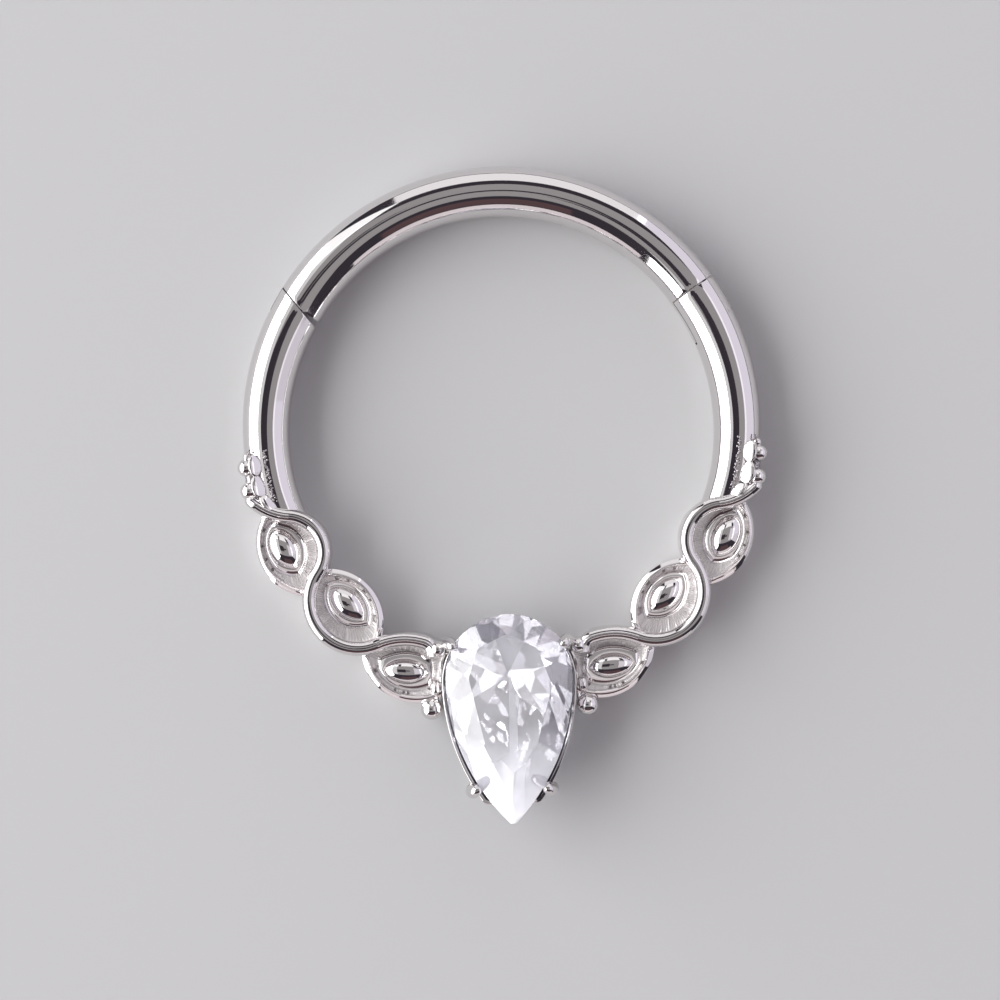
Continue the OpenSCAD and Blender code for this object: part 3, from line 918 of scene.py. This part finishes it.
def polished_steel():
    """316L surgical steel, tumbled and mirror polished: a clean reflection with a faint wave from the mop."""
    material, tree = new_material("surgical_steel_mirror_polished")
    where = node(tree, "ShaderNodeTexCoord")
    # soft waves about 0.7 mm apart that polishing leaves on thin wire
    wave = node(
        tree, "ShaderNodeTexNoise", {"Scale": 1400, "Detail": 1}, {"Vector": where.outputs["Object"]}
    )
    # fine wiping marks, real ones about 0.01 mm apart, drawn three times as coarse to show
    marks = node(
        tree, "ShaderNodeTexNoise", {"Scale": 30000, "Detail": 2}, {"Vector": where.outputs["Object"]}
    )
    rough = node(
        tree, "ShaderNodeMapRange", {"From Min": 0.3, "From Max": 0.75, "To Min": 0.035, "To Max": 0.085},
        {"Value": marks.outputs["Fac"]},
    )
    bump = node(
        tree, "ShaderNodeBump", {"Strength": 0.06, "Distance": 0.00002}, {"Height": wave.outputs["Fac"]}
    )
    metal = node(
        tree, "ShaderNodeBsdfPrincipled", {"Base Color": linear("E6E3E3"), "Metallic": 1},
        {"Roughness": rough.outputs["Result"], "Normal": bump.outputs["Normal"]},
    )
    node(tree, "ShaderNodeOutputMaterial", links={"Surface": metal.outputs["BSDF"]})
    return material


def cast_steel():
    """Surgical steel as cast in the channels, where no mop reaches: a soft, grained grey."""
    material, tree = new_material("surgical_steel_cast")
    where = node(tree, "ShaderNodeTexCoord")
    # casting grain, real grains about 0.05 mm across
    grain = node(
        tree, "ShaderNodeTexNoise", {"Scale": 20000, "Detail": 3}, {"Vector": where.outputs["Object"]}
    )
    rough = node(
        tree, "ShaderNodeMapRange", {"From Min": 0.3, "From Max": 0.7, "To Min": 0.35, "To Max": 0.6},
        {"Value": grain.outputs["Fac"]},
    )
    bump = node(
        tree, "ShaderNodeBump", {"Strength": 0.5, "Distance": 0.00001}, {"Height": grain.outputs["Fac"]}
    )
    metal = node(
        tree, "ShaderNodeBsdfPrincipled", {"Base Color": linear("E6E3E3"), "Metallic": 1},
        {"Roughness": rough.outputs["Result"], "Normal": bump.outputs["Normal"]},
    )
    node(tree, "ShaderNodeOutputMaterial", links={"Surface": metal.outputs["BSDF"]})
    return material


def solder():
    """Silver solder where it bubbled and darkened in the flame: a duller, pitted grey."""
    material, tree = new_material("silver_solder_bubbled")
    where = node(tree, "ShaderNodeTexCoord")
    # pits left by the flux, about 0.03 mm across as on the real thing
    pits = node(
        tree, "ShaderNodeTexNoise", {"Scale": 33000, "Detail": 2}, {"Vector": where.outputs["Object"]}
    )
    tone = node(tree, "ShaderNodeValToRGB", links={"Fac": pits.outputs["Fac"]})
    for stop, (position, colour) in zip(tone.color_ramp.elements, ((0.38, "6E6668"), (0.62, "CFCBCD"))):
        stop.position, stop.color = position, linear(colour)
    rough = node(
        tree, "ShaderNodeMapRange", {"From Min": 0.3, "From Max": 0.7, "To Min": 0.45, "To Max": 0.2},
        {"Value": pits.outputs["Fac"]},
    )
    metal = node(
        tree, "ShaderNodeBsdfPrincipled", {"Metallic": 1},
        {"Base Color": tone.outputs["Color"], "Roughness": rough.outputs["Result"]},
    )
    node(tree, "ShaderNodeOutputMaterial", links={"Surface": metal.outputs["BSDF"]})
    return material


def painted_shade_steel():
    """Steel under the stone, with a dark colour that is painted shade."""
    material, tree = new_material("surgical_steel_painted_shade")
    where = node(tree, "ShaderNodeTexCoord")
    # mottled roughness, in spots drawn about 0.03 mm across
    rough_mottle = node(
        tree, "ShaderNodeTexNoise", {"Scale": 33000, "Detail": 2}, {"Vector": where.outputs["Object"]}
    )
    rough = node(
        tree, "ShaderNodeMapRange", {"From Min": 0.3, "From Max": 0.7, "To Min": 0.3, "To Max": 0.55},
        {"Value": rough_mottle.outputs["Fac"]},
    )
    # painted shade: the dark base colour stands in for the shade under the stone
    metal = node(
        tree, "ShaderNodeBsdfPrincipled", {"Base Color": linear("5A5658"), "Metallic": 1},
        {"Roughness": rough.outputs["Result"]},
    )
    node(tree, "ShaderNodeOutputMaterial", links={"Surface": metal.outputs["BSDF"]})
    return material


def clear_zirconia():
    """Cubic zirconia, cut and polished: clear and very bright, with flat facets and a haze in its tip."""
    material, tree = new_material("cubic_zirconia_polished")
    where = node(tree, "ShaderNodeTexCoord")
    # a breath of polish marks, in patches 0.4 mm across
    marks = node(
        tree, "ShaderNodeTexNoise", {"Scale": 2500, "Detail": 3}, {"Vector": where.outputs["Object"]}
    )
    rough = node(
        tree, "ShaderNodeMapRange", {"From Min": 0.3, "From Max": 0.8, "To Min": 0.0, "To Max": 0.02},
        {"Value": marks.outputs["Fac"]},
    )
    # veils of haze a millimetre long that thicken towards the tip, and leave the round end clearer
    place = node(tree, "ShaderNodeSeparateXYZ", links={"Vector": where.outputs["Object"]})
    tip = node(
        tree, "ShaderNodeMapRange", {"From Min": -0.0076, "From Max": -0.0054, "To Min": 0.3, "To Max": 0.92},
        {"Value": place.outputs["Y"]},
    )
    veil = node(
        tree, "ShaderNodeTexNoise", {"Scale": 1100, "Detail": 2}, {"Vector": where.outputs["Object"]}
    )
    veil_part = node(
        tree, "ShaderNodeMapRange", {"From Min": 0.35, "From Max": 0.65, "To Min": -0.08, "To Max": 0.04},
        {"Value": veil.outputs["Fac"]},
    )
    clear = node(tree, "ShaderNodeMath", {"operation": "ADD"})
    tree.links.new(tip.outputs["Result"], clear.inputs[0])
    tree.links.new(veil_part.outputs["Result"], clear.inputs[1])
    glass = node(
        tree, "ShaderNodeBsdfPrincipled", {"Base Color": linear("F7F6FF"), "IOR": 2.15},
        {"Roughness": rough.outputs["Result"], "Transmission Weight": clear.outputs["Value"]},
    )
    node(tree, "ShaderNodeOutputMaterial", links={"Surface": glass.outputs["BSDF"]})
    return material


def pale_card():
    """Matt card under the ring."""
    material, tree = new_material("studio_card_matt")
    card = node(tree, "ShaderNodeBsdfPrincipled", {"Base Color": linear("CACACB"), "Roughness": 0.8})
    node(tree, "ShaderNodeOutputMaterial", links={"Surface": card.outputs["BSDF"]})
    return material


def softbox(row, lit=None):
    """An evenly bright panel; lit is all that it lights."""
    name, at, size, facing, roll, colour, radiance = row
    lamp = bpy.data.lights.new(name, "AREA")
    lamp.shape = "RECTANGLE"
    lamp.size, lamp.size_y = size[0] / 1000, size[1] / 1000
    lamp.color = linear(colour)[:3]
    lamp.energy = radiance * math.pi * lamp.size * lamp.size_y
    obj = bpy.data.objects.new(name, lamp)
    obj.location = Vector(at) / 1000
    face_on = Vector(facing).to_track_quat("-Z", "Y").to_matrix().to_4x4()
    obj.rotation_euler = (face_on @ turned(roll)).to_euler()
    obj.visible_camera = False
    obj.light_linking.receiver_collection = lit
    bpy.context.scene.collection.objects.link(obj)


def floor_card():
    """The card that the ring lies on."""
    bm = bmesh.new()
    bmesh.ops.create_grid(bm, x_segments=1, y_segments=1, size=1)
    mesh = bpy.data.meshes.new("floor")
    bm.to_mesh(mesh)
    bm.free()
    mesh.materials.append(pale_card())
    ground = bpy.data.objects.new("floor", mesh)
    bpy.context.scene.collection.objects.link(ground)


def studio_lights(stone, cups, beads, balls):
    """The tent, the cards that light only some pieces, and the dark room round them."""
    for row in PANELS:
        softbox(row)
    for pieces, cards in (((stone,), STONE_CARDS), ((cups,), CUP_CARDS), ((beads, balls), BEAD_CARDS)):
        lit = bpy.data.collections.new("lit_" + pieces[0].name)
        for piece in pieces:
            lit.objects.link(piece)
        for row in cards:
            softbox(row, lit)
    world = bpy.data.worlds.new("studio")
    world.use_nodes = True
    world.node_tree.nodes["Background"].inputs["Color"].default_value = linear(ROOM_COLOUR)
    bpy.context.scene.world = world


def camera_above():
    """Straight above, at the height where the photograph's scale comes out at the wire's middle."""
    lens = bpy.data.cameras.new("camera")
    lens.lens, lens.sensor_width = LENS, SENSOR
    lens.clip_start, lens.clip_end = 0.001, 10
    obj = bpy.data.objects.new("camera", lens)
    roll = math.radians(CAMERA_ROLL)
    right = Vector((math.cos(roll), math.sin(roll), 0))
    up = Vector((-math.sin(roll), math.cos(roll), 0))
    hoop_x, hoop_y = HOOP_AT_PX
    middle = Vector((0, HOOP_Y, WIRE_Z))
    middle += right * ((PICTURE_PX / 2 - hoop_x) / PX_PER_MM)
    middle += up * ((hoop_y - PICTURE_PX / 2) / PX_PER_MM)
    high = Vector((0, 0, PICTURE_PX / PX_PER_MM * LENS / SENSOR))
    obj.location = (middle + high) / 1000
    obj.rotation_euler = (0, 0, roll)
    bpy.context.scene.collection.objects.link(obj)
    bpy.context.scene.camera = obj
    bpy.context.scene.view_settings.view_transform = "Standard"


steel = polished_steel()
zirconia = clear_zirconia()
# dark steel that paints the shade under the stone
painted_shade = painted_shade_steel()

arms = finished(joined(hinge_arm(), clasp_arm()), "hoop_arms", BODY, steel)
finished(both_sides(ribbon()), "ribbons", BODY, steel)
all_cups = both_sides(*(cup(i) for i in range(len(CUPS))))
cups = finished(all_cups, "cups", BODY, (steel, cast_steel()))
all_beads = both_sides(*(bead(i) for i in range(len(CUPS))))
beads = finished(all_beads, "pointed_beads", BODY, steel)
balls = finished(
    both_sides(*shoulder(), *stone_side()), "balls_and_posts", BODY, (steel, solder())
)
finished(basket(), "basket", BODY, (steel, painted_shade))
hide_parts("ring_body")

stone = finished(pear_stone(), "stone", BODY, zirconia, FACET_CREASE)
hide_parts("pear_stone")

opening = finished(opening_segment(), "opening_segment", HINGED, steel)
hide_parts("segment")

for cad in bpy.context.scene.objects:
    if cad.get("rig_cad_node") == "hinge_pin":
        cad.data.materials.clear()
        cad.data.materials.append(steel)

floor_card()
studio_lights(stone, cups, beads, balls)
camera_above()
